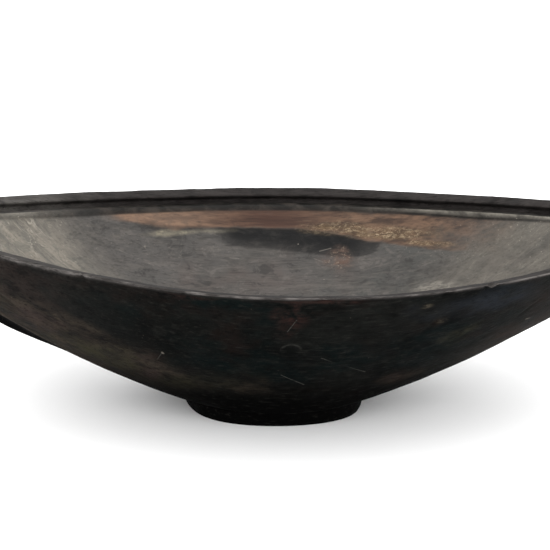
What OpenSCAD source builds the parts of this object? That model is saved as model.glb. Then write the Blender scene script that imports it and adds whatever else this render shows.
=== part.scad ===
// Boat-shaped carved wooden bowl, hewn and hollowed from one log.
// Origin: centre of the overall box on the surface that the bowl stands on.
// +X runs along the grain from the high end to the low end, +Z is up.

/* [Outline] */
// Length from tip to tip
bowl_length = 700; // [500:10:900]
// Width across the rim at mid-length
bowl_width = 354; // [300:2:420]
// Height of the rim at mid-length
side_height = 141; // [115:1:180]
// Extra height of the rim at the high end, on -X
high_end_rise = 26; // [0:1:40]
// Extra height of the rim at the low end, on +X
low_end_rise = 18; // [0:1:40]
// Fullness of the rim outline: 0.5 is an ellipse, 1 is a pointed leaf
leaf_shape = 1.1; // [0.5:0.05:1.2]
// Roundness of the two tips
tip_roundness = 0.46; // [0.3:0.05:1]

/* [Rim] */
// Width of the flat top of the rim
rim_width = 17; // [12:1:26]
// How far the rim's top falls towards the inside
rim_fall = 3.2; // [0:0.2:5]
// How far the groove cuts back under the rim's inner edge
groove_depth = 4.5; // [1:0.5:8]
// Depth of the ledge below the rim's outer edge
ledge_drop = 12; // [10:0.5:16]

/* [Hollow] */
// Wood left under the middle of the hollow
floor_thickness = 40; // [26:1:50]
// Curve of the hollow: 1 is a cone, larger is flatter in the middle
hollow_curve = 2.6; // [1.6:0.1:3]

/* [Underside] */
// Half length of the hull where it leaves the foot
hull_base_length = 86; // [85:1:120]
// Half width of the hull where it leaves the foot
hull_base_width = 83; // [82:1:100]
// Shift of the hull's base towards the high end
hull_base_shift = 16; // [14:1:17]
// Half length of the foot
foot_length = 77; // [60:1:78]
// Half width of the foot
foot_width = 78; // [60:1:79]
// Outline of the foot: 0.5 is an ellipse, lower is squarer
foot_shape = 0.25; // [0.25:0.01:0.5]
// Shift of the foot towards the high end
foot_shift = 15; // [14:1:17]
// Height of the foot
foot_height = 13; // [6:0.5:16]
// Depth of the keel under the high end
keel_depth = 6; // [0:1:12]

/* [Hidden] */

half_length = bowl_length / 2;
half_width = bowl_width / 2;

// Facets: points around each ring, and rings on each stretch of the section
around = 96;
hull_rings = 14;
wall_rings = 14;

// Flare of the hull from its base to the rim, along the bowl and across it
flare_along = 0.75;
flare_across = 0.96;
// Share of the hull's height at its last ring, just under the rim's edge
hull_top = 0.985;
// How strongly the rise of the ends stays in the upper part of the wall
rise_power = 6;

// The keel: its half width as an angle round the ring and how far its flanks spread, where it
// starts and reaches full depth, and how far below the rim it fades out
keel_angle = 11;
keel_spread = 1.6;
keel_start = 0.2;
keel_full = 0.5;
keel_fade = 0.12;

// Foot: how far its lower edge is rounded in and up
foot_edge_in = 2;
foot_edge_up = 1.5;

// Small features of the rim's section
edge_round = 1.2;
edge_drop = 0.8;
lip_height = 1.4;
groove_height = 2;
ledge_width = 4.5;
// Slope from the ledge's inner edge down into the hollow: distance in and distance down
slope_in = 2.5;
slope_down = 2.5;

// Outline of an ellipse, on the scale of leaf_shape
ellipse = 0.5;
// The hollow's last ring closes as a small flat disc
centre_share = 0.05;
// How strongly the rise of the ends carries down into the hollow
hollow_rise_power = 2.4;
// A slanting cut takes more off the pointed ends than off the sides
tip_offset = 1.35;

function clamp01(t) = max(0, min(1, t));
function smooth(t) = let (c = clamp01(t)) c * c * (3 - 2 * c);
function mix(a, b, t) = a + (b - a) * t;

// Rise of the rim line at an angle round the bowl
function end_rise(angle) =
    (cos(angle) < 0 ? high_end_rise : low_end_rise) * pow(cos(angle), 2);

// One point of the plan outline: squarer, an ellipse or a rounded leaf as leaf grows
function plan_point(angle, long, wide, shift, leaf) =
    let (s = sin(angle), r = tip_roundness)
    [long * cos(angle) - shift,
     wide * s * pow((s * s + r * r) / (1 + r * r), leaf - ellipse)];

// A ring of points at one level of the section
function ring(long, wide, shift, leaf, z, rise, keel = 0) =
    [for (i = [0 : around - 1])
        let (
            angle = 360 * i / around,
            p = plan_point(angle, long, wide, shift, leaf),
            drop = keel * smooth(keel_spread - abs(angle - 180) / keel_angle)
        )
        [p[0], p[1], z + end_rise(angle) * rise - drop]];

// Hull at a share k of the way from its base to the rim
function hull_ring(k) =
    ring(
        mix(hull_base_length, half_length, pow(k, flare_along)),
        mix(hull_base_width, half_width, pow(k, flare_across)),
        hull_base_shift * (1 - pow(k, flare_along)),
        mix(ellipse, leaf_shape, k),
        mix(foot_height, side_height, k),
        pow(k, rise_power),
        keel_depth * smooth((k - keel_start) / (keel_full - keel_start))
            * smooth((1 - k) / keel_fade)
    );

// Rim ring at a distance in from the outer edge and down from the top
function rim_ring(inward, down) =
    ring(
        half_length - inward * tip_offset,
        half_width - inward,
        0,
        leaf_shape,
        side_height - down,
        1
    );

// Foot ring, drawn in slightly at the ground
function foot_ring(inward, z) =
    ring(foot_length - inward, foot_width - inward, foot_shift, foot_shape, z, 0);

// Where the hollow starts, below the ledge
hollow_in = rim_width + ledge_width + slope_in;
hollow_down = ledge_drop + slope_down;
hollow_top = side_height - hollow_down;

// Hollow at a share f of its half width, 1 at the ledge and 0 at the middle
function hollow_ring(f) =
    ring(
        (half_length - hollow_in * tip_offset) * f,
        (half_width - hollow_in) * f,
        foot_shift * (1 - f),
        mix(ellipse, leaf_shape, f),
        mix(floor_thickness, hollow_top, pow(f, hollow_curve)),
        pow(f, hollow_rise_power)
    );

// The foot's section as [inward, height]: its underside's edge, its lower edge and its upper edge
foot_section = [
    [foot_edge_in, 0],
    [0, foot_edge_up],
    [0, foot_height - foot_edge_up]
];

// The rim's section as [inward, down]: outer edge, flat top, inner edge, groove and ledge
rim_section = [
    [0, edge_drop],
    [edge_round, 0],
    [rim_width - 2 * edge_round, rim_fall * (1 - 2 * edge_round / rim_width)],
    [rim_width, rim_fall + edge_round],
    [rim_width - edge_round / 2, rim_fall + edge_round + lip_height],
    [rim_width - groove_depth, ledge_drop - 2 * groove_height],
    [rim_width - groove_depth, ledge_drop - groove_height],
    [rim_width + edge_round, ledge_drop - edge_drop],
    [rim_width + ledge_width, ledge_drop]
];

// The whole section, from the middle of the underside out to the rim and back in to the floor
rings = concat(
    [for (p = foot_section) foot_ring(p[0], p[1])],
    [for (i = [0 : hull_rings]) hull_ring(i / hull_rings * hull_top)],
    [for (p = rim_section) rim_ring(p[0], p[1])],
    [for (i = [0 : wall_rings]) hollow_ring(mix(1, centre_share, i / wall_rings))]
);

// Two triangles for each step round each band between rings, and a flat cap at both ends
function skin_faces(levels) = concat(
    [[for (i = [0 : around - 1]) i]],
    [for (level = [0 : levels - 2], i = [0 : around - 1])
        let (a = level * around + i, b = level * around + (i + 1) % around)
        for (f = [[a, a + around, b], [b, a + around, b + around]]) f],
    [[for (i = [around - 1 : -1 : 0]) (levels - 1) * around + i]]
);

module bowl() {
    color([0.16, 0.12, 0.10])
        polyhedron([for (r = rings, p = r) p], skin_faces(len(rings)), convexity = 10);
}

bowl();
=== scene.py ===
"""Looks for a boat-shaped carved wooden bowl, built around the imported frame."""
import math

import bpy
import numpy as np
from mathutils import Matrix, Vector


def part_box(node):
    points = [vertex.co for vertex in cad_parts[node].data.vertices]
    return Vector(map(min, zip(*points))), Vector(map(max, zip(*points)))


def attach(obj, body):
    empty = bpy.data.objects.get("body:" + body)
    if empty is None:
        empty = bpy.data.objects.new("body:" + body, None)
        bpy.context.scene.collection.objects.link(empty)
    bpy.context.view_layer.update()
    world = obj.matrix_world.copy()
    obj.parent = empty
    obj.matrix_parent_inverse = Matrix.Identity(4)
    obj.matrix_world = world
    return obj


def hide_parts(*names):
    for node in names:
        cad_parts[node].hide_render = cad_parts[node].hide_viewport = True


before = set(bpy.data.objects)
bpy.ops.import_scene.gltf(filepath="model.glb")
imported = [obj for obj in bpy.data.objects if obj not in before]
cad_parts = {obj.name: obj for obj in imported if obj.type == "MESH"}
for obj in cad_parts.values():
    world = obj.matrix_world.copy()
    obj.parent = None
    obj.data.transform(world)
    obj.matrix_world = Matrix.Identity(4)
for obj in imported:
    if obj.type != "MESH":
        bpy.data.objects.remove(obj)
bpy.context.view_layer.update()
bowl_low, bowl_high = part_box("bowl")

MM = 0.001
TAU = 2 * math.pi

# ---------------------------------------------------------------- the bowl's form, in millimetres
LENGTH = (bowl_high.x - bowl_low.x) / MM
WIDTH = (bowl_high.y - bowl_low.y) / MM
HIGH_END_RISE = 26.0
LOW_END_RISE = 18.0
SIDE_HEIGHT = bowl_high.z / MM - HIGH_END_RISE
# Plan outline: 0.5 is an ellipse, lower is squarer, higher is a rounded leaf
ELLIPSE, LEAF_SHAPE = 0.5, 1.1
TIP_ROUNDNESS = 0.46
# Half length, half width and shift towards the high end
HULL_BASE = (86.0, 83.0, 16.0)
FOOT = (77.0, 78.0, 15.0)
FOOT_SHAPE = 0.25
FOOT_HEIGHT = 13.0
# The foot's lower edge: how far it is drawn in, its first ring's height, and the gap to the hull
FOOT_EDGE, FOOT_EDGE_UP, FOOT_TOP_GAP = 2.0, 0.8, 2
FLARE_ALONG, FLARE_ACROSS, RISE_POWER = 0.75, 0.96, 6
# Share of the hull's height at its last ring, just under the rim's edge
HULL_TOP = 0.985
KEEL_DEPTH, KEEL_ANGLE, KEEL_SPREAD = 6.0, 11.0, 1.6
KEEL_START, KEEL_FULL, KEEL_FADE = 0.2, 0.5, 0.12
TIP_OFFSET = 1.35
HOLLOW_IN, HOLLOW_DOWN = 24.0, 14.5
FLOOR_THICKNESS, HOLLOW_CURVE, HOLLOW_RISE_POWER = 40.0, 2.6, 2.4

# Points round each ring, rings on each stretch of the section, and the rim's step between rings
AROUND = 1024
UNDERSIDE_RINGS, FOOT_RINGS, HULL_RINGS, HOLLOW_RINGS = 26, 12, 150, 190
RIM_STEP = 0.75
# Size of the smallest ring at each end of the section, as a share
UNDERSIDE_CENTRE, HOLLOW_CENTRE = 0.03, 0.02
angles = np.arange(AROUND) * TAU / AROUND


def smooth(t):
    """Eases from 0 to 1."""
    t = np.clip(t, 0.0, 1.0)
    return t * t * (3 - 2 * t)


def mix(a, b, t):
    return a + (b - a) * t


def ring(long, wide, shift, leaf, z, rise, keel=0.0):
    """Points around the bowl at one level of its section."""
    s, c = np.sin(angles), np.cos(angles)
    r2 = TIP_ROUNDNESS**2
    x = long * c - shift
    y = wide * s * ((s * s + r2) / (1 + r2)) ** (leaf - ELLIPSE)
    ends = np.where(c < 0, HIGH_END_RISE, LOW_END_RISE) * c * c
    keel_line = smooth(KEEL_SPREAD - np.degrees(np.abs(angles - math.pi)) / KEEL_ANGLE)
    return np.stack([x, y, z + ends * rise - keel * keel_line], axis=1)


def foot_ring(inward, z):
    long, wide, shift = FOOT
    return ring(long - inward, wide - inward, shift, FOOT_SHAPE, z, 0)


def hull_ring(k):
    long, wide, shift = HULL_BASE
    along = k**FLARE_ALONG
    keel = KEEL_DEPTH * smooth((k - KEEL_START) / (KEEL_FULL - KEEL_START))
    keel = keel * smooth((1 - k) / KEEL_FADE)
    return ring(
        mix(long, LENGTH / 2, along),
        mix(wide, WIDTH / 2, k**FLARE_ACROSS),
        shift * (1 - along),
        mix(ELLIPSE, LEAF_SHAPE, k),
        mix(FOOT_HEIGHT, SIDE_HEIGHT, k),
        k**RISE_POWER,
        keel,
    )


def rim_ring(inward, down):
    return ring(
        LENGTH / 2 - inward * TIP_OFFSET,
        WIDTH / 2 - inward,
        0,
        LEAF_SHAPE,
        SIDE_HEIGHT - down,
        1,
    )


def hollow_ring(f):
    return ring(
        (LENGTH / 2 - HOLLOW_IN * TIP_OFFSET) * f,
        (WIDTH / 2 - HOLLOW_IN) * f,
        FOOT[2] * (1 - f),
        mix(ELLIPSE, LEAF_SHAPE, f),
        mix(FLOOR_THICKNESS, SIDE_HEIGHT - HOLLOW_DOWN, f**HOLLOW_CURVE),
        f**HOLLOW_RISE_POWER,
    )


# The rim's section as (inward, down): outer edge, flat top, inner edge, undercut groove, ledge
RIM_SECTION = [
    (0, 0.8), (1.2, 0), (14.6, 2.75), (17, 4.4), (16.4, 5.8),
    (12.5, 8), (12.5, 10), (18.2, 11.2), (21.5, 12),
]


def rounded(corners, passes):
    """Cuts each corner of an open line, passes times."""
    line = np.array(corners, float)
    for _ in range(passes):
        near = 0.75 * line[:-1] + 0.25 * line[1:]
        far = 0.25 * line[:-1] + 0.75 * line[1:]
        line = np.concatenate([line[:1], np.stack([near, far], 1).reshape(-1, 2), line[-1:]])
    return line


def run_along(line):
    """Distance along an open line of points, from its first point to each of them."""
    return np.concatenate([[0], np.cumsum(np.linalg.norm(np.diff(line, axis=0), axis=1))])


def evenly(line, step):
    """Points along an open line, about step apart."""
    run = run_along(line)
    stops = np.linspace(0, run[-1], int(run[-1] / step) + 1)
    return np.stack([np.interp(stops, run, line[:, i]) for i in range(2)], axis=1)


rings, zone, share = [], [], []


def add_ring(points, name, at):
    rings.append(points)
    zone.append(name)
    share.append(at)


for t in np.linspace(UNDERSIDE_CENTRE, 1, UNDERSIDE_RINGS):
    add_ring(foot_ring(mix(FOOT[1], FOOT_EDGE, t), 0), "underside", t)
for t in np.linspace(0, 1, FOOT_RINGS):
    height = FOOT_EDGE_UP + (FOOT_HEIGHT - FOOT_TOP_GAP) * t
    add_ring(foot_ring(FOOT_EDGE * (1 - t) ** 4, height), "foot", t)
for k in np.linspace(0, HULL_TOP, HULL_RINGS):
    add_ring(hull_ring(k), "hull", k)
rim_line = evenly(rounded(RIM_SECTION, 2), RIM_STEP)
for inward, down in rim_line:
    add_ring(rim_ring(inward, down), "rim", inward)
for f in np.linspace(1, HOLLOW_CENTRE, HOLLOW_RINGS):
    add_ring(hollow_ring(f), "hollow", f)

grid = np.array(rings)
zone = np.array(zone)
share = np.array(share)
rim_down = np.zeros(len(rings))
rim_down[zone == "rim"] = rim_line[:, 1]
print("rings", len(rings), "vertices", grid.shape[0] * grid.shape[1])


# ---------------------------------------------------------------- noise, the same on every run
# Seeds between one layer and the next, and the spread of layered noise that is scaled back to 1
LAYER_SEEDS, LAYERED_SPREAD = 17, 1.6
# Where a cut's middle may lie in its cell: the margin at each side and the width between them
CUT_MARGIN, CUT_ROOM = 0.15, 0.7
# A distance beyond any that is compared with it
FAR = 9.0


def lattice(cells, seed):
    """A repeatable number from 0 to 1 for each whole-number point of space.

    The large numbers are odd multipliers that scatter the bits."""
    h = cells[..., 0] * 374761393 + cells[..., 1] * 668265263 + cells[..., 2] * 2147483629
    h = (h + seed * 974634777) & 0xFFFFFFFF
    h = ((h ^ (h >> 13)) * 1274126177) & 0xFFFFFFFF
    h = ((h ^ (h >> 16)) * 2246822519) & 0xFFFFFFFF
    return ((h ^ (h >> 15)) & 0xFFFFFF) / float(0xFFFFFF)


def noise(points, size, seed):
    """Smooth noise from -1 to 1, with features of the given size along x, y and z."""
    p = points / np.asarray(size, float)
    cell = np.floor(p).astype(np.int64)
    t = p - cell
    t = t * t * t * (t * (t * 6 - 15) + 10)
    total = np.zeros(points.shape[:-1])
    for corner in np.ndindex(2, 2, 2):
        weight = np.prod(np.where(corner, t, 1 - t), axis=-1)
        total += weight * lattice(cell + corner, seed)
    return total * 2 - 1


def layered(points, size, seed, layers=3):
    """Noise with finer and finer layers, each half as strong."""
    total, strength = 0.0, 1.0
    for layer in range(layers):
        finer = np.asarray(size, float) / 2**layer
        total = total + strength * noise(points, finer, seed + LAYER_SEEDS * layer)
        strength /= 2
    return total / LAYERED_SPREAD


def cuts(u, v, seed, count=0):
    """Tool cuts on a plane of strokes (u, v).

    Gives the squared distance to the nearest cut's middle, and that cut's own number. A count
    makes the pattern meet itself after that many cells of u."""
    cell = np.stack([np.floor(u), np.floor(v), np.zeros_like(u)], axis=-1).astype(np.int64)
    nearest = np.full(u.shape, FAR)
    own = np.zeros(u.shape)
    for du in (-1, 0, 1):
        for dv in (-1, 0, 1):
            other = cell + [du, dv, 0]
            key = other.copy()
            if count:
                key[..., 0] %= count
            cu = other[..., 0] + CUT_MARGIN + CUT_ROOM * lattice(key, seed)
            cv = other[..., 1] + CUT_MARGIN + CUT_ROOM * lattice(key, seed + 1)
            away = (u - cu) ** 2 + (v - cv) ** 2
            own = np.where(away < nearest, lattice(key, seed + 2), own)
            nearest = np.minimum(nearest, away)
    return nearest, own


# ---------------------------------------------------------------- carving marks, as real relief
def outward(surface):
    """Unit vectors that point out of the wood at each grid point."""
    round_the_ring = np.roll(surface, -1, axis=1) - np.roll(surface, 1, axis=1)
    along_section = np.gradient(surface, axis=0)
    normal = np.cross(round_the_ring, along_section)
    return normal / np.maximum(np.linalg.norm(normal, axis=2, keepdims=True), 1e-9)


def rows(name):
    return zone == name


# Angles round the bowl, in degrees, where the hollow's end walls meet its side walls
CREASES = (54, 128, 232, 306)
CREASE_WIDTH, CREASE_DEPTH, CREASE_SHARPNESS = 26.0, 5.0, 1.3
# The ridges beside the keel: degrees from the high end, extra degrees low down, width and height
ARRIS_ANGLE, ARRIS_SPREAD, ARRIS_WIDTH, ARRIS_HEIGHT = 22.0, 28, 1.7, 0.9
UNDER_KEEL_DEPTH = 0.3
# Tool cuts round the whole bowl: on the hull, and broad and fine ones on the hollow's walls
HULL_CUTS, WALL_CUTS, FINE_CUTS = 46, 132, 330
# A cut pattern's usual value, taken off so that the cuts move the surface both ways
CUT_LEVEL = 0.3
# Nicks: how many, the seed, the rim's two edges in mm from the outside, and each edge's share
NICKS, NICK_SEED = 46, 8
NICKED_EDGES, EDGE_SHARES = [0.6, 16.5], [0.65, 0.35]
# Stand-ins for the distance across the rim, on the hull below it and everywhere else
HULL_DISTANCE, ELSEWHERE = 60, 40

hull, rim, hollow, foot = rows("hull"), rows("rim"), rows("hollow"), rows("foot")
column = share[:, None]
turn = angles[None, :]
end_ness = np.abs(np.cos(turn)) ** 2
near_rim = (
    np.where(hull, smooth((share - 0.6) / 0.4), 0)
    + rim
    + np.where(hollow, smooth((share - 0.7) / 0.3), 0)
)[:, None]

base = grid.copy()
plan = base * [1, 1, 0]
grid[..., 2] += near_rim * (1.1 * layered(plan, (110, 90, 90), 11) - 0.6)
sideways = near_rim * 0.9 * noise(plan, (70, 60, 60), 23)
pushed = sideways[..., None] * plan[..., :2]
grid[..., :2] += pushed / np.linalg.norm(plan[..., :2], axis=2, keepdims=True)

relief = np.zeros(grid.shape[:2])
hull_cuts, _ = cuts(turn / TAU * HULL_CUTS + 0 * column, column * 9 + 0 * turn, 5, HULL_CUTS)
relief += hull[:, None] * (
    0.8 * layered(base, (150, 110, 60), 31)
    + 0.3 * layered(base, (34, 34, 16), 37)
    + 0.35 * (hull_cuts - CUT_LEVEL) * smooth(column / 0.15)
    - 0.5
)
# Long slanting strokes on the end walls, short lengthwise ones on the side walls
wall_cuts, wall_tone = cuts(
    turn / TAU * WALL_CUTS + 4.5 * column, column * 4.2 + 0.5 * np.sin(7 * turn), 7, WALL_CUTS
)
fine_cuts, fine_tone = cuts(
    turn / TAU * FINE_CUTS + 9 * column, column * 6.5 + 0.7 * np.sin(5 * turn), 13, FINE_CUTS
)
side_cuts, side_tone = cuts(
    base[..., 0] / 46, base[..., 2] / 11 + 0.2 * noise(base, (60, 60, 60), 41), 9
)
end_cuts = 0.95 * (wall_cuts - CUT_LEVEL) + 0.35 * (fine_cuts - CUT_LEVEL)
relief += hollow[:, None] * (
    0.7 * layered(base, (120, 70, 50), 43)
    + end_cuts * end_ness * smooth((column - 0.3) / 0.25)
    + 0.45 * (side_cuts - CUT_LEVEL) * (1 - end_ness) * smooth((column - 0.5) / 0.2)
    + 0.12 * noise(base, (60, 4, 4), 47)
)
# A ridge each side of the keel, where the hull's flank turns under
keel_side = np.abs(np.degrees(turn) - 180)
arris_at = ARRIS_ANGLE + ARRIS_SPREAD * np.clip(0.55 - column, 0, 0.45)
ends_of_ridge = hull[:, None] * smooth((column - 0.1) / 0.2) * smooth((0.87 - column) / 0.25)
arris = np.exp(-(((keel_side - arris_at) / ARRIS_WIDTH) ** 2)) * ends_of_ridge
under_keel = smooth((arris_at - 0.5 - keel_side) / 2.5) * ends_of_ridge
relief += ARRIS_HEIGHT * arris - UNDER_KEEL_DEPTH * under_keel
for corner in CREASES:
    off = np.abs(turn - math.radians(corner)) / math.radians(CREASE_WIDTH)
    crease = hollow[:, None] * CREASE_DEPTH * np.clip(1 - off, 0, 1) ** CREASE_SHARPNESS
    relief -= crease * smooth((column - 0.25) / 0.4)
relief += foot[:, None] * 0.4 * layered(base, (24, 24, 14), 53)
relief += rim[:, None] * (
    0.18 * layered(base, (26, 26, 12), 59) + 0.25 * layered(base, (9, 9, 6), 61) - 0.2
)

# Nicks in the rim's two edges
draws = np.random.default_rng(NICK_SEED)
across_rim = np.where(rim, share, np.where(hull, (1 - share) * HULL_DISTANCE, ELSEWHERE))[:, None]
rim_edge = rim_ring(0, 0)
around_run = run_along(rim_edge)
rim_length = around_run[-1] + np.linalg.norm(rim_edge[0] - rim_edge[-1])
for _ in range(NICKS):
    at = draws.uniform(0, rim_length)
    width = draws.uniform(1.5, 7)
    depth = draws.uniform(0.4, 1.5)
    reach = draws.uniform(1.5, 4)
    middle = draws.choice(NICKED_EDGES, p=EDGE_SHARES)
    gap = np.abs(around_run - at)
    gap = np.minimum(gap, rim_length - gap)[None, :]
    relief -= depth * np.exp(-((gap / width) ** 2) - ((across_rim - middle) / reach) ** 2)

grid += relief[..., None] * outward(grid)
grid = np.clip(grid, np.array(bowl_low) / MM, np.array(bowl_high) / MM)


# ---------------------------------------------------------------- one closed mesh
def skin(surface):
    """Vertices and faces of the closed skin over the grid, with a point amid each end."""
    levels, count = surface.shape[:2]
    ends = [surface[:1].mean(axis=1), surface[-1:].mean(axis=1)]
    vertices = np.concatenate([surface.reshape(-1, 3), *ends])
    level, i = np.meshgrid(np.arange(levels - 1), np.arange(count), indexing="ij")
    a = (level * count + i).ravel()
    b = (level * count + (i + 1) % count).ravel()
    quads = np.stack([a, b, b + count, a + count], axis=1)
    here = np.arange(count)
    following = (here + 1) % count
    bottom, top = levels * count, levels * count + 1
    last = (levels - 1) * count
    caps = [(bottom, int(n), int(h)) for h, n in zip(here, following)]
    caps += [(top, int(last + h), int(last + n)) for h, n in zip(here, following)]
    return vertices, quads.tolist() + caps


vertices, faces = skin(grid)
mesh = bpy.data.meshes.new("bowl_carved")
mesh.from_pydata((vertices * MM).tolist(), [], faces)
mesh.update()
mesh.shade_smooth()
bowl = bpy.data.objects.new("bowl_carved", mesh)
bpy.context.scene.collection.objects.link(bowl)


def attribute(name, values):
    """Stores one number for each vertex; the last two are the ends' middles."""
    values = values + 0 * turn
    flat = np.append(values.ravel(), [values[0].mean(), values[-1].mean()])
    mesh.attributes.new(name, "FLOAT", "POINT").data.foreach_set("value", flat.astype(np.float32))


# The outside, up to the rim's inner edge, is one kind of wood; the groove and hollow the other
OUTSIDE_RIM = 17.0
# Half width and half height of each disc in the flat map, and where the two discs' middles are
DISC_WIDE, DISC_TALL = 0.485, 0.235
MAP_MIDDLE, OUTER_MIDDLE, INNER_MIDDLE = 0.5, 0.25, 0.75
inner_from = int(np.argmax((rim & (share > OUTSIDE_RIM)) | hollow))
face_level = np.append(
    np.repeat(np.arange(len(rings) - 1), AROUND), np.repeat([0, len(rings) - 2], AROUND)
)
in_hollow = face_level >= inner_from
mesh.polygons.foreach_set("material_index", in_hollow.astype(np.int32))


def disc_map():
    """A flat map of two discs, the outside and the inside, each a polar picture of its rings."""
    section = np.linalg.norm(np.diff(base, axis=0), axis=2).mean(axis=1)
    run = np.concatenate([[0], np.cumsum(section)])
    outer = run / run[inner_from]
    inner = (run[-1] - run) / (run[-1] - run[inner_from])
    places = []
    for reach, middle in ((outer, OUTER_MIDDLE), (inner, INNER_MIDDLE)):
        flat = np.stack([
            MAP_MIDDLE + DISC_WIDE * reach[:, None] * np.cos(turn),
            middle + DISC_TALL * reach[:, None] * np.sin(turn),
        ], axis=-1).reshape(-1, 2)
        flat = np.concatenate([flat, [[MAP_MIDDLE, middle]] * 2])
        places.append(flat)
    corners = np.empty(len(mesh.loops), np.int32)
    mesh.loops.foreach_get("vertex_index", corners)
    counts = np.empty(len(mesh.polygons), np.int32)
    mesh.polygons.foreach_get("loop_total", counts)
    on_inner = np.repeat(in_hollow, counts)
    flat = np.where(on_inner[:, None], places[1][corners], places[0][corners])
    layer = mesh.uv_layers.new(name="OFBake", do_init=False)
    layer.uv.foreach_set("vector", flat.astype(np.float32).ravel())


disc_map()

rim_top = rim[:, None] * smooth((OUTSIDE_RIM + 0.5 - column) / 1.5)
rim_top = rim_top + np.where(hull, smooth((share - 0.965) / 0.02), 0)[:, None]


# ---------------------------------------------------------------- wear, stains, crust, and painted light and shade
degrees = np.degrees(turn)


def spot(at, level, wide, tall, rows_of, edge=0.35):
    """A soft-edged blotch at an angle round the bowl and a level in one stretch of the section."""
    wobble = 0.35 * noise(base, (16, 16, 16), int(at * 7 + wide * 3))
    away = np.hypot((degrees - at) / wide, (column - level) / tall) + wobble
    return rows_of[:, None] * (1 - smooth((away - 1 + edge) / edge))


def most(*layers):
    return np.max(np.stack(np.broadcast_arrays(*layers)), axis=0)


# The worn band on the upper inner wall: its lower edge dips towards the low end.
# Angles are mirrored, so that both sides of the bowl are alike: 0 is the low end, 180 the high
mirrored = np.where(degrees > 180, 360 - degrees, degrees)
band_edge = 0.93 - 0.06 * smooth((92 - mirrored) / 34) + 0.05 * smooth((mirrored - 106) / 14)
ragged = 0.012 * layered(base, (30, 14, 10), 71, 4)
band = hollow[:, None] * smooth((column - band_edge - ragged) / 0.014 + 0.5)
band = band * smooth((mirrored - 43 + 5 * layered(base, (30, 20, 14), 91)) / 22)
band = band * smooth((121 - mirrored + 3 * layered(base, (24, 16, 12), 93)) / 8)
red_part = band * np.exp(-(((mirrored - 89) / 9) ** 2))
# A dark half oval that hangs below the band, sharp to the right and soft to the left
past_low = np.clip((mirrored - 75) / 26, 0, 1)
past_steep = np.clip((75 - mirrored) / 7.8, 0, 1)
droop = np.where(mirrored < 75, np.sqrt(1 - past_steep**2), (1 - past_low) ** 0.6)
oval_edge = 0.88 - 0.074 * droop + 0.004 * noise(base, (30, 18, 14), 73)
oval_soft = 0.008 + 0.012 * smooth((mirrored - 74) / 20)
dark_oval = hollow[:, None] * smooth((column - oval_edge) / oval_soft + 0.5)
dark_oval = dark_oval * smooth((mirrored - 67.4) / 1.4) * smooth((101 - mirrored) / 5)
dark_oval = dark_oval * (1 - band) * (0.72 + 0.28 * smooth((column - oval_edge) / 0.055))
dark_oval = dark_oval * (1 - 0.22 * smooth((75 - mirrored) / 5))
dark_oval = dark_oval * np.where(degrees > 180, 0.2, 1)
# Painted shadow: a thin dark line where the band's lower edge steps in
band_edge_shadow = band_edge + ragged - 0.006
line_width = 0.0045 + 0.008 * smooth((mirrored - 96) / 12)
band_edge_shadow = hollow[:, None] * np.exp(-(((column - band_edge_shadow) / line_width) ** 2))
band_edge_shadow = band_edge_shadow * smooth((mirrored - 66) / 8) * smooth((117 - mirrored) / 8)
crust = most(
    spot(78, 0.932, 4.4, 0.02, hollow, 0.8),
    spot(68, 0.907, 6.5, 0.019, hollow, 0.8),
    spot(60, 0.892, 6, 0.018, hollow, 0.8) * 0.9,
    spot(69, 0.925, 16, 0.04, hollow, 0.9) * 0.75,
    spot(292, 0.9, 7, 0.02, hollow, 0.6) * 0.6,
)
pale_streak = spot(107, 0.914, 11, 0.018, hollow, 0.9)
pale_patch = spot(49, 0.69, 8, 0.05, hollow, 0.9)
rusty = most(spot(76, 0.79, 6, 0.07, hollow, 0.8), spot(284, 0.8, 5, 0.05, hollow, 0.7) * 0.6)
pink_floor = spot(92, 0.66, 30, 0.2, hollow, 0.9)
side_walls = smooth((mirrored - 44) / 16) * smooth((138 - mirrored) / 18)
end_walls = hollow[:, None] * (1 - side_walls) * smooth((column - 0.3) / 0.3)
end_walls = end_walls * np.where(np.cos(turn) > 0, 0.62, 1.0)
# Painted shade on the ledge under the rim: deep along the sides and lighter towards the ends, where
# a pale edge is painted as light caught by the ledge's shoulder, with some wear
along_x = base[..., 0]
ledge = (rim & (share > OUTSIDE_RIM))[:, None] + hollow[:, None] * smooth((column - 0.988) / 0.008)
ledge = ledge * (0.95 - 0.6 * smooth((-along_x - 130) / 90) - 0.2 * smooth((along_x - 170) / 80))
pale_ledge = rim[:, None] * smooth((column - 20.9) / 0.5)
pale_ledge = pale_ledge * (1 - smooth((mirrored - 58) / 20) * smooth((138 - mirrored) / 16))
# Each tool stroke in the hollow has its own tone
stroke_tone = hollow[:, None] * (0.62 * wall_tone + 0.38 * fine_tone)
stroke_tone = np.where(end_ness > 0.25, stroke_tone, hollow[:, None] * side_tone)
# Brown wood on the near side, high at the high end and low towards the middle
brown_top = mix(0.93, 0.45, smooth((degrees - 222) / 24)) - 0.25 * smooth((degrees - 260) / 8)
brown_top = brown_top + 0.09 * layered(base, (70, 40, 34), 83)
brown_low = hull[:, None] * smooth((brown_top - column) / 0.24) * smooth((column - 0.13) / 0.1)
brown_low = brown_low * smooth((degrees - 186) / 8) * smooth((270 - degrees) / 10)
brown_low = most(
    brown_low,
    spot(297, 0.27, 10, 0.09, hull, 0.7) * 0.8,
    spot(325, 0.45, 16, 0.3, hull, 0.8) * 0.7,
    spot(60, 0.3, 22, 0.2, hull, 0.8) * 0.8,
    spot(128, 0.25, 18, 0.2, hull, 0.8) * 0.8,
) * (1 - under_keel)
red_patch = most(
    spot(265, 0.84, 3, 0.16, hull, 0.7),
    spot(268, 0.965, 9, 0.03, hull, 0.6),
    spot(252, 0.955, 5, 0.03, hull, 0.7) * 0.7,
    spot(95, 0.9, 7, 0.06, hull, 0.7) * 0.6,
)
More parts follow.
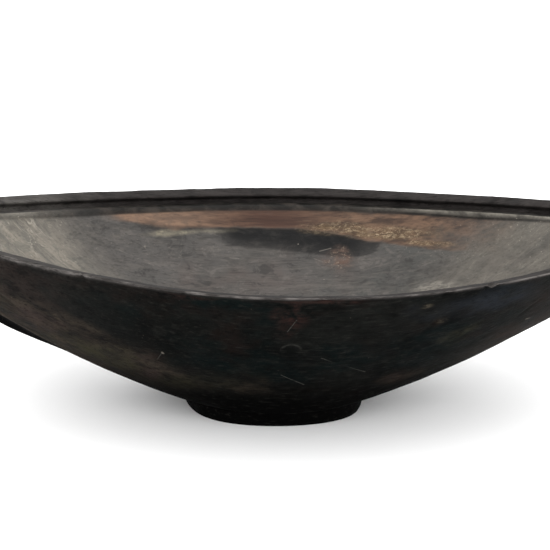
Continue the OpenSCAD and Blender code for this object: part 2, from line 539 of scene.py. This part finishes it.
knot = most(
    spot(284, 0.89, 1.5, 0.04, hull, 0.7),
    spot(289, 0.75, 1.4, 0.02, hull, 0.7) * 0.5,
    spot(70, 0.6, 2.2, 0.05, hull, 0.6),
)
blue_grey = most(spot(294, 0.85, 13, 0.13, hull, 0.9), spot(332, 0.62, 10, 0.2, hull, 0.9) * 0.8)
olive = most(
    spot(297, 0.62, 5, 0.12, hull, 0.8),
    spot(224, 0.4, 12, 0.16, hull, 0.9),
    spot(236, 0.22, 9, 0.08, hull, 0.9),
    spot(112, 0.6, 9, 0.16, hull, 0.9),
)
# Painted light: the hull's ends catch more light than its middle, so they are painted paler
lit_ends = hull[:, None] * smooth((np.abs(np.cos(turn)) - 0.35) / 0.5)
# Painted shade in the groove under the rim's lip, thinner towards both ends
groove = rim[:, None] * smooth((column - 11) / 1) * smooth((17.6 - column) / 1)
groove = groove * (rim_down[:, None] > 4.5)
groove = groove * (1 - 0.45 * smooth((-along_x - 205) / 60))
groove = groove * (1 - 0.35 * smooth((along_x - 120) / 60))
# The rim's top is palest towards the high end; on the near side its outer edge is rubbed bare and
# painted with a sheen
pale_rim = rim_top * smooth((-along_x - 130) / 110) * np.where(degrees > 180, 0.35, 1)
edge_wear_and_sheen = rim[:, None] * smooth((2.6 - column) / 1.4) + hull[:, None] * (column > 0.984)
edge_wear_and_sheen = edge_wear_and_sheen * (degrees > 180)
# Painted shade: the foot and the lowest part of the hull are darkest
shaded = (foot | rows("underside"))[:, None] + hull[:, None] * smooth((0.16 - column) / 0.16)
low_hull = hull[:, None] * smooth((0.42 - column) / 0.34)

for name, values in {
    "rim_top": rim_top, "pale_rim": pale_rim, "edge_wear_and_sheen": edge_wear_and_sheen,
    "band": band, "band_edge_shadow": band_edge_shadow, "red_part": red_part, "dark_oval": dark_oval,
    "crust": crust, "pale_streak": pale_streak, "pale_patch": pale_patch, "rusty": rusty,
    "pink_floor": pink_floor, "end_walls": end_walls, "groove": groove, "ledge": ledge,
    "pale_ledge": pale_ledge, "stroke_tone": stroke_tone,
    "stroke_across": keel_side + 0 * column, "stroke_along": column,
    "brown_low": brown_low, "red_patch": red_patch, "blue_grey": blue_grey, "olive": olive,
    "knot": knot, "lit_ends": lit_ends, "shaded": shaded, "low_hull": low_hull,
    "arris": arris, "under_keel": under_keel,
}.items():
    attribute(name, values)


def place_on(rows_of, at, level):
    """Where a spot of the carved surface is, in metres, from its angle in degrees and its level."""
    row = int(np.argmin(np.where(rows_of, np.abs(share - level), FAR)))
    point = grid[row, int(round(at / 360 * AROUND)) % AROUND] * MM
    return Vector(point.tolist())


# ---------------------------------------------------------------- materials
# The strokes' bend down the wall, their drift across the bowl, and their roughness
STROKE_BEND, STROKE_DRIFT, STROKE_ROUGHNESS = 30.0, 14, 0.62
# The Mix node's colour sockets have the same names as its number sockets, so they go by place
UNDER_COLOUR, OVER_COLOUR, COLOUR_RESULT = 6, 7, 2
BUMP_STRENGTH, BUMP_DISTANCE = 0.6, 0.0007
OUTSIDE_SHEEN, INSIDE_SHEEN = 0.02, 0.12


def material(name):
    found = bpy.data.materials.new(name)
    found.use_nodes = True
    return found, found.node_tree, found.node_tree.nodes["Principled BSDF"]


class Graph:
    """Short calls for adding shader nodes: each returns the socket that the next one takes."""

    def __init__(self, tree):
        self.tree = tree
        self.place = self.tree.nodes.new("ShaderNodeTexCoord").outputs["Object"]

    def plug(self, socket, value):
        if isinstance(value, bpy.types.NodeSocket):
            self.tree.links.new(value, socket)
        else:
            socket.default_value = value

    def math(self, operation, a, b=0.0, clamp=False):
        node = self.tree.nodes.new("ShaderNodeMath")
        node.operation = operation
        node.use_clamp = clamp
        self.plug(node.inputs[0], a)
        self.plug(node.inputs[1], b)
        return node.outputs[0]

    def times(self, a, b):
        return self.math("MULTIPLY", a, b)

    def plus(self, a, b):
        return self.math("ADD", a, b)

    def weighted(self, terms):
        """The sum of several sockets, each times its own weight."""
        total = None
        for socket, weight in terms:
            part = self.times(socket, weight)
            total = part if total is None else self.plus(total, part)
        return total

    def ramp(self, value, low, high, out_low=0.0, out_high=1.0):
        """Eases from out_low to out_high as the value goes from low to high."""
        node = self.tree.nodes.new("ShaderNodeMapRange")
        node.interpolation_type = "SMOOTHSTEP"
        for socket, number in zip(node.inputs, (value, low, high, out_low, out_high)):
            self.plug(socket, number)
        return node.outputs[0]

    def stretch(self, factors, offset=0.0):
        """The place in the CAD frame, times a factor for each axis."""
        node = self.tree.nodes.new("ShaderNodeVectorMath")
        node.operation = "MULTIPLY_ADD"
        self.plug(node.inputs[0], self.place)
        node.inputs[1].default_value = factors
        node.inputs[2].default_value = (offset, offset, offset)
        return node.outputs[0]

    def clouds(self, vector, detail, roughness, distortion):
        node = self.tree.nodes.new("ShaderNodeTexNoise")
        self.plug(node.inputs["Vector"], vector)
        node.inputs["Scale"].default_value = 1.0
        node.inputs["Detail"].default_value = detail
        node.inputs["Roughness"].default_value = roughness
        node.inputs["Distortion"].default_value = distortion
        return node.outputs["Fac"]

    def noise(self, factors, detail=4.0, roughness=0.55, distortion=0.0, offset=0.0):
        return self.clouds(self.stretch(factors, offset), detail, roughness, distortion)

    def strokes(self, across, along, detail=5.0, curl=0.4):
        """Fine lines that run down the walls and bend towards the middle of the hollow."""
        level = self.mask("stroke_along")
        bend = self.times(self.times(level, STROKE_BEND), self.math("SUBTRACT", 2.0, level))
        lines = self.plus(self.mask("stroke_across"), bend)
        node = self.tree.nodes.new("ShaderNodeCombineXYZ")
        self.plug(node.inputs[0], self.times(lines, across))
        self.plug(node.inputs[1], self.times(level, along))
        self.plug(node.inputs[2], self.along("DOT_PRODUCT", self.place, (0, STROKE_DRIFT, 0)))
        return self.clouds(node.outputs[0], detail, STROKE_ROUGHNESS, curl)

    def hairs(self, across, along, width):
        """Hair-fine curling scratches, on the lines where a stroke pattern crosses its middle."""
        pattern = self.strokes(across, along, 1.5, 1.1)
        off_middle = self.math("ABSOLUTE", self.math("SUBTRACT", pattern, 0.5))
        return self.ramp(off_middle, width, width * 0.3)

    def specks(self, factors, size, rarity):
        """Small dots, one in some of the cells of a stretched pattern."""
        node = self.tree.nodes.new("ShaderNodeTexVoronoi")
        self.plug(node.inputs["Vector"], self.stretch(factors))
        node.inputs["Scale"].default_value = 1.0
        split = self.tree.nodes.new("ShaderNodeSeparateColor")
        self.plug(split.inputs[0], node.outputs["Color"])
        dot = self.ramp(node.outputs["Distance"], size, size * 0.4)
        return self.times(dot, self.ramp(split.outputs[0], rarity, rarity + 0.02))

    def along(self, operation, a, b):
        """Vector arithmetic: each argument is a socket or a fixed vector."""
        node = self.tree.nodes.new("ShaderNodeVectorMath")
        node.operation = operation
        self.plug(node.inputs[0], a)
        self.plug(node.inputs[1], b)
        return node.outputs["Value" if operation in ("DOT_PRODUCT", "LENGTH") else "Vector"]

    def scratch(self, start, end, width):
        """A straight mark of the given width from start to end, with rounded ends."""
        reach = end - start
        from_start = self.along("SUBTRACT", self.place, tuple(start))
        projected = self.along("DOT_PRODUCT", from_start, tuple(reach))
        share_of = self.math("DIVIDE", projected, reach.length_squared)
        share_of = self.math("MULTIPLY", share_of, 1.0, clamp=True)
        scaled = self.tree.nodes.new("ShaderNodeVectorMath")
        scaled.operation = "SCALE"
        scaled.inputs[0].default_value = reach
        self.plug(scaled.inputs["Scale"], share_of)
        aside = self.along("SUBTRACT", from_start, scaled.outputs["Vector"])
        away = self.along("LENGTH", aside, (0, 0, 0))
        return self.ramp(away, width, width * 0.35)

    def ring_mark(self, centre, radius, width):
        """A round mark on the surface."""
        away = self.along("LENGTH", self.along("SUBTRACT", self.place, tuple(centre)), (0, 0, 0))
        return self.ramp(self.math("ABSOLUTE", self.math("SUBTRACT", away, radius)), width, 0.0)

    def any_of(self, masks):
        total = masks[0]
        for other in masks[1:]:
            total = self.math("MAXIMUM", total, other)
        return total

    def mask(self, name):
        node = self.tree.nodes.new("ShaderNodeAttribute")
        node.attribute_name = name
        return node.outputs["Fac"]

    def blend(self, factor, under, over):
        node = self.tree.nodes.new("ShaderNodeMix")
        node.data_type = "RGBA"
        self.plug(node.inputs["Factor"], factor)
        self.plug(node.inputs[UNDER_COLOUR], under)
        self.plug(node.inputs[OVER_COLOUR], over)
        return node.outputs[COLOUR_RESULT]

    def wash(self, under, where, strength, over):
        """A colour laid over another one, where and as strongly as two factors say."""
        return self.blend(self.times(where, strength), under, over)


def tone(r, g, b):
    return (r, g, b, 1.0)


def fibres(g):
    """Patterns that both kinds of wood share, from broad patches to grain along X."""
    return {
        "patches": g.noise((14, 22, 26), 6, 0.6, 0.3),
        "mottle": g.noise((38, 70, 80), 6, 0.65, 0.2),
        "blotches": g.noise((52, 74, 84), 5, 0.7, 0.5, 3.7),
        "streaks": g.noise((12, 160, 170), 5, 0.6),
        "fine": g.noise((22, 300, 330), 5, 0.68, 0.2),
        "dashes": g.noise((75, 520, 560), 3, 0.55, 0.3),
        "grain": g.noise((30, 620, 620), 4, 0.6, 0.15),
        "pores": g.noise((900, 1500, 1500), 2, 0.5),
        "dust": g.noise((330, 420, 420), 4, 0.75, 0.4, 9.1),
        "cool": g.noise((9, 13, 16), 4, 0.6, 0.3, 1.3),
        "warm": g.noise((11, 15, 19), 4, 0.6, 0.3, 6.2),
    }


def carve(g, shader, height):
    """Fine relief, too small for the mesh."""
    bump = g.tree.nodes.new("ShaderNodeBump")
    bump.inputs["Strength"].default_value = BUMP_STRENGTH
    bump.inputs["Distance"].default_value = BUMP_DISTANCE
    g.plug(bump.inputs["Height"], height)
    g.plug(shader.inputs["Normal"], bump.outputs[0])


# Outside: near black and dull, with cool and brown patches, worn along the rim
outer_wood, tree, shader = material("outer_wood")
g = Graph(tree)
f = fibres(g)
# Blackened wood with cool, warm, grey and darker patches
colour = g.blend(
    g.ramp(f["patches"], 0.35, 0.68), tone(0.001, 0.0013, 0.0012), tone(0.0044, 0.0048, 0.0042)
)
colour = g.wash(colour, g.ramp(f["cool"], 0.47, 0.62), 0.75, tone(0.0013, 0.0036, 0.0036))
colour = g.wash(colour, g.ramp(f["warm"], 0.5, 0.66), 0.65, tone(0.0062, 0.0038, 0.003))
colour = g.wash(colour, g.ramp(f["blotches"], 0.52, 0.7), 0.7, tone(0.0084, 0.0087, 0.0076))
colour = g.wash(colour, g.ramp(f["blotches"], 0.46, 0.34), 0.65, tone(0.0006, 0.0008, 0.0007))
# Painted light: paler ends
lit_ends_share = g.times(g.mask("lit_ends"), g.ramp(f["mottle"], 0.3, 0.62, 0.25, 1.0))
colour = g.blend(
    lit_ends_share,
    colour,
    g.blend(g.ramp(f["warm"], 0.4, 0.6), tone(0.0092, 0.0096, 0.009), tone(0.018, 0.0142, 0.0125)),
)
colour = g.wash(colour, g.ramp(f["mottle"], 0.46, 0.34), 0.7, tone(0.0022, 0.0022, 0.002))
# Brown wood low on the hull
brown = g.blend(
    g.ramp(f["mottle"], 0.36, 0.66), tone(0.0062, 0.0051, 0.0043), tone(0.031, 0.0248, 0.019)
)
brown = g.wash(brown, g.ramp(f["streaks"], 0.5, 0.68), 0.4, tone(0.043, 0.034, 0.024))
brown = g.wash(brown, g.ramp(f["cool"], 0.48, 0.6), 0.65, tone(0.0165, 0.0158, 0.0105))
brown = g.wash(brown, g.ramp(f["warm"], 0.5, 0.64), 0.6, tone(0.03, 0.0205, 0.0182))
brown = g.wash(
    brown, g.mask("olive"), g.ramp(f["mottle"], 0.36, 0.6, 0.2, 0.85), tone(0.029, 0.0262, 0.0158)
)
brown_share = g.times(g.mask("brown_low"), g.ramp(f["blotches"], 0.36, 0.58, 0.3, 1.0))
colour = g.blend(brown_share, colour, brown)
# Blue-grey, olive and red patches, and knots
blue_share = g.times(g.mask("blue_grey"), g.ramp(f["mottle"], 0.36, 0.6, 0.25, 0.9))
colour = g.blend(blue_share, colour, tone(0.0118, 0.0138, 0.0172))
olive_share = g.times(g.mask("olive"), g.ramp(f["blotches"], 0.42, 0.6, 0.1, 0.7))
colour = g.blend(olive_share, colour, tone(0.019, 0.0178, 0.0112))
red_share = g.times(g.mask("red_patch"), g.ramp(f["blotches"], 0.36, 0.6))
colour = g.wash(
    colour,
    red_share,
    0.8,
    g.blend(f["fine"], tone(0.009, 0.004, 0.0035), tone(0.032, 0.0155, 0.0125)),
)
knot_wood = g.blend(
    g.ramp(f["blotches"], 0.42, 0.56), tone(0.003, 0.003, 0.003), tone(0.05, 0.042, 0.031)
)
colour = g.wash(colour, g.mask("knot"), g.ramp(f["dust"], 0.35, 0.55, 0.3, 1.0), knot_wood)
# Worn rim, with a painted sheen along its near outer edge
rim_wood = g.blend(f["streaks"], tone(0.0105, 0.0093, 0.009), tone(0.044, 0.0388, 0.037))
rim_wood = g.wash(rim_wood, g.ramp(f["blotches"], 0.52, 0.66), 0.6, tone(0.011, 0.01, 0.009))
colour = g.wash(colour, g.mask("rim_top"), g.ramp(f["mottle"], 0.3, 0.62, 0.45, 1.0), rim_wood)
colour = g.wash(
    colour, g.mask("pale_rim"), g.ramp(f["mottle"], 0.38, 0.56, 0.3, 0.8), tone(0.078, 0.073, 0.067)
)
colour = g.wash(
    colour, g.mask("edge_wear_and_sheen"), g.ramp(f["mottle"], 0.4, 0.62, 0.15, 0.9), tone(0.12, 0.11, 0.104)
)
# Painted shade darkening towards the foot, then short dashes along the grain
colour = g.wash(colour, g.mask("low_hull"), 0.85, tone(0.0006, 0.0006, 0.0005))
colour = g.wash(colour, g.mask("shaded"), 0.95, tone(0.0003, 0.0003, 0.0003))
colour = g.wash(colour, g.ramp(f["dashes"], 0.57, 0.7), 0.42, tone(0.0165, 0.016, 0.0142))
colour = g.wash(colour, g.ramp(f["dashes"], 0.44, 0.32), 0.6, tone(0.001, 0.001, 0.001))
# Scratches, part of a ring, and chips
broken = g.ramp(f["dust"], 0.38, 0.5, 0.25, 1.0)
scratches = g.any_of([
    g.scratch(place_on(hull, 272, 0.5), place_on(hull, 284, 0.36), 0.0007),
    g.scratch(place_on(hull, 265, 0.36), place_on(hull, 271, 0.27), 0.0007),
    g.scratch(place_on(hull, 239, 0.42), place_on(hull, 242, 0.49), 0.0006),
    g.scratch(place_on(hull, 266, 0.82), place_on(hull, 265, 0.73), 0.0006),
    g.scratch(place_on(hull, 74, 0.5), place_on(hull, 83, 0.44), 0.0008),
    g.scratch(place_on(hull, 118, 0.36), place_on(hull, 124, 0.42), 0.0007),
])
colour = g.wash(colour, g.times(scratches, broken), 0.65, tone(0.038, 0.037, 0.033))
ring_centre = place_on(hull, 266, 0.57)
upper_arc = g.ramp(
    g.along("DOT_PRODUCT", g.place, (0, 0, 1)),
    ring_centre.z - 0.001,
    ring_centre.z + 0.005,
    0.1,
    1.0,
)
ring_mark = g.times(g.ring_mark(ring_centre, 0.0078, 0.0018), g.times(upper_arc, broken))
colour = g.wash(colour, ring_mark, 0.42, tone(0.032, 0.031, 0.028))
chips = g.any_of([
    g.scratch(place_on(hull, 242, 0.48), place_on(hull, 242, 0.49), 0.0015),
    g.scratch(place_on(hull, 313, 0.62), place_on(hull, 314, 0.62), 0.0013),
])
colour = g.wash(colour, g.times(chips, broken), 0.8, tone(0.1, 0.09, 0.076))
# Grain, painted shade under the keel, a painted highlight with wear along its ridges, and pale
# flecks
colour = g.wash(colour, g.ramp(f["grain"], 0.52, 0.7), 0.4, tone(0.0012, 0.0012, 0.001))
colour = g.wash(colour, g.mask("under_keel"), 0.94, tone(0.0006, 0.0005, 0.0004))
colour = g.wash(
    colour, g.mask("arris"), g.ramp(f["dust"], 0.3, 0.6, 0.2, 0.8), tone(0.034, 0.028, 0.0235)
)
flecks = g.times(g.specks((170, 300, 300), 0.14, 0.95), g.ramp(f["mottle"], 0.35, 0.65))
colour = g.wash(colour, flecks, 0.5, tone(0.09, 0.08, 0.066))
g.plug(shader.inputs["Base Color"], colour)
# Roughness and fine relief
dull = g.plus(g.ramp(f["mottle"], 0.3, 0.7, 0.6, 0.84), g.times(g.mask("low_hull"), 0.2))
dull = g.math("ADD", dull, g.times(g.mask("under_keel"), 0.35), clamp=True)
g.plug(shader.inputs["Roughness"], dull)
shader.inputs["Specular IOR Level"].default_value = OUTSIDE_SHEEN
height = g.weighted([
    (f["grain"], 0.45), (f["streaks"], 0.8), (f["blotches"], 1.1), (f["dashes"], 0.5),
    (f["pores"], 0.12),
])
height = g.math("SUBTRACT", height, g.times(scratches, 0.5))
carve(g, shader, height)

# Inside: grey worn floor, paler tool-marked ends, a brown band under the ledge
inner_wood, tree, shader = material("inner_wood")
g = Graph(tree)
f = fibres(g)
lines = g.strokes(0.42, 5.0)
fine_lines = g.strokes(1.5, 7.0)
hairs = g.any_of([g.hairs(0.5, 4.0, 0.012), g.hairs(0.23, 9.0, 0.009)])
low_side = g.ramp(g.along("DOT_PRODUCT", g.place, (1, 0, 0)), -0.05, 0.1)
colour = g.blend(
    g.ramp(f["patches"], 0.3, 0.7), tone(0.051, 0.0478, 0.0445), tone(0.075, 0.0695, 0.065)
)
colour = g.wash(colour, g.ramp(f["cool"], 0.46, 0.62), 0.6, tone(0.05, 0.0515, 0.0475))
colour = g.wash(
    colour, g.mask("pink_floor"), g.ramp(f["warm"], 0.4, 0.62, 0.2, 0.9), tone(0.072, 0.058, 0.052)
)
colour = g.wash(colour, g.ramp(f["blotches"], 0.52, 0.68), 0.75, tone(0.105, 0.095, 0.086))
colour = g.wash(colour, g.ramp(f["blotches"], 0.46, 0.34), 0.7, tone(0.026, 0.0245, 0.023))
colour = g.wash(colour, g.ramp(f["mottle"], 0.46, 0.34), 0.5, tone(0.036, 0.034, 0.031))
colour = g.wash(colour, g.ramp(f["streaks"], 0.48, 0.7), 0.5, tone(0.1, 0.09, 0.08))
colour = g.wash(colour, g.ramp(f["dashes"], 0.46, 0.34), 0.35, tone(0.026, 0.024, 0.022))
# Pale end walls with stroke marks, browner at the low end
pale = g.blend(g.ramp(lines, 0.36, 0.66), tone(0.112, 0.104, 0.09), tone(0.205, 0.183, 0.152))
pale = g.wash(pale, g.ramp(g.mask("stroke_tone"), 0.25, 0.8), 0.35, tone(0.155, 0.139, 0.114))
pale = g.wash(pale, g.ramp(f["blotches"], 0.5, 0.68), 0.55, tone(0.066, 0.062, 0.055))
pale = g.wash(pale, g.ramp(fine_lines, 0.58, 0.7), 0.6, tone(0.225, 0.2, 0.165))
pale = g.wash(pale, g.ramp(fine_lines, 0.42, 0.3), 0.5, tone(0.05, 0.045, 0.038))
pale = g.wash(pale, g.times(hairs, g.ramp(f["mottle"], 0.42, 0.6)), 0.6, tone(0.33, 0.3, 0.25))
pale = g.wash(pale, g.ramp(f["blotches"], 0.49, 0.38), 0.5, tone(0.084, 0.083, 0.072))
brown_end = g.blend(
    g.ramp(f["mottle"], 0.34, 0.66), tone(0.05, 0.043, 0.036), tone(0.098, 0.086, 0.07)
)
pale = g.wash(pale, low_side, 0.55, brown_end)
colour = g.blend(g.mask("end_walls"), colour, pale)
# A pale patch, dust, the dark half oval and rust
patch_share = g.times(g.mask("pale_patch"), g.ramp(f["fine"], 0.44, 0.6, 0.15, 1.0))
colour = g.blend(patch_share, colour, tone(0.165, 0.151, 0.13))
dusty = g.times(g.ramp(f["dust"], 0.57, 0.7), g.ramp(f["mottle"], 0.42, 0.6))
colour = g.wash(
    colour, dusty, g.ramp(g.mask("stroke_along"), 0.75, 0.93, 0.12, 0.6), tone(0.24, 0.215, 0.18)
)
oval_share = g.times(g.mask("dark_oval"), g.ramp(f["blotches"], 0.66, 0.44, 0.86, 1.0))
colour = g.blend(
    oval_share,
    colour,
    g.blend(f["patches"], tone(0.002, 0.0021, 0.0024), tone(0.0052, 0.005, 0.005)),
)
rust = g.blend(f["fine"], tone(0.05, 0.03, 0.022), tone(0.125, 0.08, 0.062))
colour = g.wash(colour, g.mask("rusty"), g.ramp(f["blotches"], 0.42, 0.58, 0.2, 0.9), rust)
# The brown band, redder in the middle, with a painted shadow line along its lower edge
band_wood = g.blend(
    g.ramp(f["streaks"], 0.34, 0.66), tone(0.05, 0.031, 0.023), tone(0.16, 0.096, 0.062)
)
band_wood = g.wash(band_wood, g.ramp(f["fine"], 0.46, 0.34), 0.55, tone(0.028, 0.02, 0.016))
band_wood = g.wash(band_wood, g.ramp(f["blotches"], 0.52, 0.66), 0.65, tone(0.048, 0.037, 0.03))
band_wood = g.wash(band_wood, g.ramp(f["fine"], 0.6, 0.72), 0.5, tone(0.2, 0.145, 0.1))
red_wood = g.blend(f["streaks"], tone(0.024, 0.0115, 0.0085), tone(0.078, 0.038, 0.027))
band_wood = g.wash(band_wood, g.mask("red_part"), 0.85, red_wood)
high_side = g.ramp(g.along("DOT_PRODUCT", g.place, (1, 0, 0)), -0.03, -0.09)
band_wood = g.wash(band_wood, high_side, 0.25, tone(0.26, 0.175, 0.125))
band_wood = g.wash(band_wood, low_side, 0.22, tone(0.03, 0.022, 0.017))
colour = g.wash(colour, g.mask("band"), g.ramp(f["mottle"], 0.28, 0.45, 0.6, 1.0), band_wood)
colour = g.wash(
    colour, g.mask("band_edge_shadow"), g.ramp(f["mottle"], 0.3, 0.6, 0.1, 0.8), tone(0.007, 0.006, 0.005)
)
# The pale streak, and crust with crumbs and painted shade in the gaps between them
streak_share = g.times(g.mask("pale_streak"), g.ramp(f["mottle"], 0.34, 0.56, 0.4, 0.95))
colour = g.blend(
    streak_share,
    colour,
    g.blend(g.ramp(f["dust"], 0.4, 0.6), tone(0.15, 0.132, 0.098), tone(0.23, 0.205, 0.15)),
)
gold_share = g.times(g.mask("crust"), g.ramp(f["fine"], 0.4, 0.56, 0.3, 0.85))
colour = g.blend(gold_share, colour, tone(0.125, 0.084, 0.05))
crumbly = g.noise((170, 330, 360), 6, 0.82, 0.3)
crumbs = g.times(g.ramp(crumbly, 0.45, 0.6), g.ramp(f["mottle"], 0.36, 0.52, 0.25, 0.95))
crumb_shade = g.times(g.mask("crust"), g.ramp(crumbly, 0.45, 0.36))
colour = g.wash(colour, crumb_shade, 0.7, tone(0.028, 0.019, 0.013))
crumb_wood = g.blend(g.ramp(f["dust"], 0.4, 0.6), tone(0.19, 0.13, 0.075), tone(0.46, 0.36, 0.24))
crusted = g.times(g.mask("crust"), crumbs)
colour = g.blend(crusted, colour, crumb_wood)
rusty_crumbs = g.times(g.mask("rusty"), g.ramp(f["dust"], 0.56, 0.68))
colour = g.wash(colour, rusty_crumbs, 0.7, tone(0.3, 0.24, 0.18))
# Painted shade on the ledge and in the groove, and painted light with wear on the ledge's pale edge
ledge_wood = g.blend(
    g.ramp(f["blotches"], 0.42, 0.68), tone(0.004, 0.0038, 0.0032), tone(0.03, 0.025, 0.021)
)
colour = g.blend(g.mask("ledge"), colour, ledge_wood)
worn_ledge = g.times(g.mask("pale_ledge"), g.ramp(f["mottle"], 0.32, 0.58, 0.3, 1.0))
colour = g.blend(
    worn_ledge, colour, g.blend(f["dust"], tone(0.12, 0.11, 0.092), tone(0.26, 0.24, 0.205))
)
colour = g.blend(g.mask("groove"), colour, tone(0.0018, 0.0023, 0.0017))
colour = g.wash(colour, g.ramp(f["grain"], 0.52, 0.7), 0.3, tone(0.01, 0.009, 0.008))
# Scratches and flecks
broken = g.ramp(f["dust"], 0.38, 0.5, 0.25, 1.0)
worn_marks = g.any_of([
    g.scratch(place_on(hollow, 98, 0.8), place_on(hollow, 96, 0.79), 0.0005),
    g.scratch(place_on(hollow, 79.5, 0.83), place_on(hollow, 77.5, 0.843), 0.0006),
    g.scratch(place_on(hollow, 80, 0.79), place_on(hollow, 78, 0.778), 0.0005),
    g.scratch(place_on(hollow, 120, 0.86), place_on(hollow, 115, 0.78), 0.0005),
    g.scratch(place_on(hollow, 286, 0.55), place_on(hollow, 300, 0.48), 0.0007),
])
colour = g.wash(colour, g.times(worn_marks, broken), 0.5, tone(0.17, 0.155, 0.135))
flecks = g.times(g.specks((150, 240, 240), 0.13, 0.955), g.ramp(f["mottle"], 0.4, 0.6))
high_up = g.times(g.mask("end_walls"), g.ramp(g.mask("stroke_along"), 0.78, 0.92))
flecks = g.any_of([flecks, g.times(g.specks((210, 260, 330), 0.2, 0.86), high_up)])
colour = g.wash(colour, flecks, 0.7, tone(0.4, 0.36, 0.3))
g.plug(shader.inputs["Base Color"], colour)
# Roughness and fine relief
gloss = g.ramp(f["blotches"], 0.3, 0.7, 0.46, 0.62)
gloss = g.math("ADD", gloss, g.times(g.mask("crust"), 0.25), clamp=True)
g.plug(shader.inputs["Roughness"], gloss)
shader.inputs["Specular IOR Level"].default_value = INSIDE_SHEEN
height = g.weighted([
    (f["grain"], 0.35), (f["streaks"], 0.7), (f["blotches"], 0.7),
    (g.times(g.mask("end_walls"), fine_lines), 1.3), (crusted, 1.2),
])
carve(g, shader, height)

mesh.materials.append(outer_wood)
mesh.materials.append(inner_wood)

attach(bowl, "root")
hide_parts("bowl")

# ---------------------------------------------------------------- floor
floor_mesh = bpy.data.meshes.new("floor")
FLOOR_HALF = 12.0
# A little below the foot, so that the two don't share a plane
FLOOR_LEVEL = -0.0002
FLOOR_COLOUR, FLOOR_ROUGHNESS = (0.93, 0.93, 0.93, 1), 0.9
floor_mesh.from_pydata(
    [
        (x * FLOOR_HALF, y * FLOOR_HALF, FLOOR_LEVEL)
        for x, y in ((-1, -1), (1, -1), (1, 1), (-1, 1))
    ],
    [],
    [(0, 1, 2, 3)],
)
floor = bpy.data.objects.new("floor", floor_mesh)
bpy.context.scene.collection.objects.link(floor)
paper, _, paper_shader = material("pale_floor")
paper_shader.inputs["Base Color"].default_value = FLOOR_COLOUR
paper_shader.inputs["Roughness"].default_value = FLOOR_ROUGHNESS
floor_mesh.materials.append(paper)

# ---------------------------------------------------------------- light
SKY_COLOUR, SKY_STRENGTH = (1, 1, 1, 1), 2.2
world = bpy.data.worlds.new("studio")
bpy.context.scene.world = world
world.use_nodes = True
sky = world.node_tree.nodes["Background"]
sky.inputs["Color"].default_value = SKY_COLOUR
sky.inputs["Strength"].default_value = SKY_STRENGTH

# ---------------------------------------------------------------- camera
CAMERA_TARGET = Vector((-0.0148, 0.0024, 0.1061))
CAMERA_DISTANCE = 1.439
CAMERA_AZIMUTH = math.radians(-9.28)
CAMERA_ELEVATION = math.radians(16.29)
CAMERA_ROLL = math.radians(2.1)
SENSOR, LENS = 36.0, 111.3
camera_data = bpy.data.cameras.new("camera")
camera_data.sensor_width = SENSOR
camera_data.lens = LENS
camera = bpy.data.objects.new("camera", camera_data)
back = Vector((
    math.sin(CAMERA_AZIMUTH) * math.cos(CAMERA_ELEVATION),
    -math.cos(CAMERA_AZIMUTH) * math.cos(CAMERA_ELEVATION),
    math.sin(CAMERA_ELEVATION),
))
camera.location = CAMERA_TARGET + back * CAMERA_DISTANCE
upright = (-back).to_track_quat("-Z", "Y").to_matrix()
camera.rotation_euler = (upright @ Matrix.Rotation(CAMERA_ROLL, 3, "Z")).to_euler()
bpy.context.scene.collection.objects.link(camera)
bpy.context.scene.camera = camera

bpy.context.scene.view_settings.view_transform = "Standard"
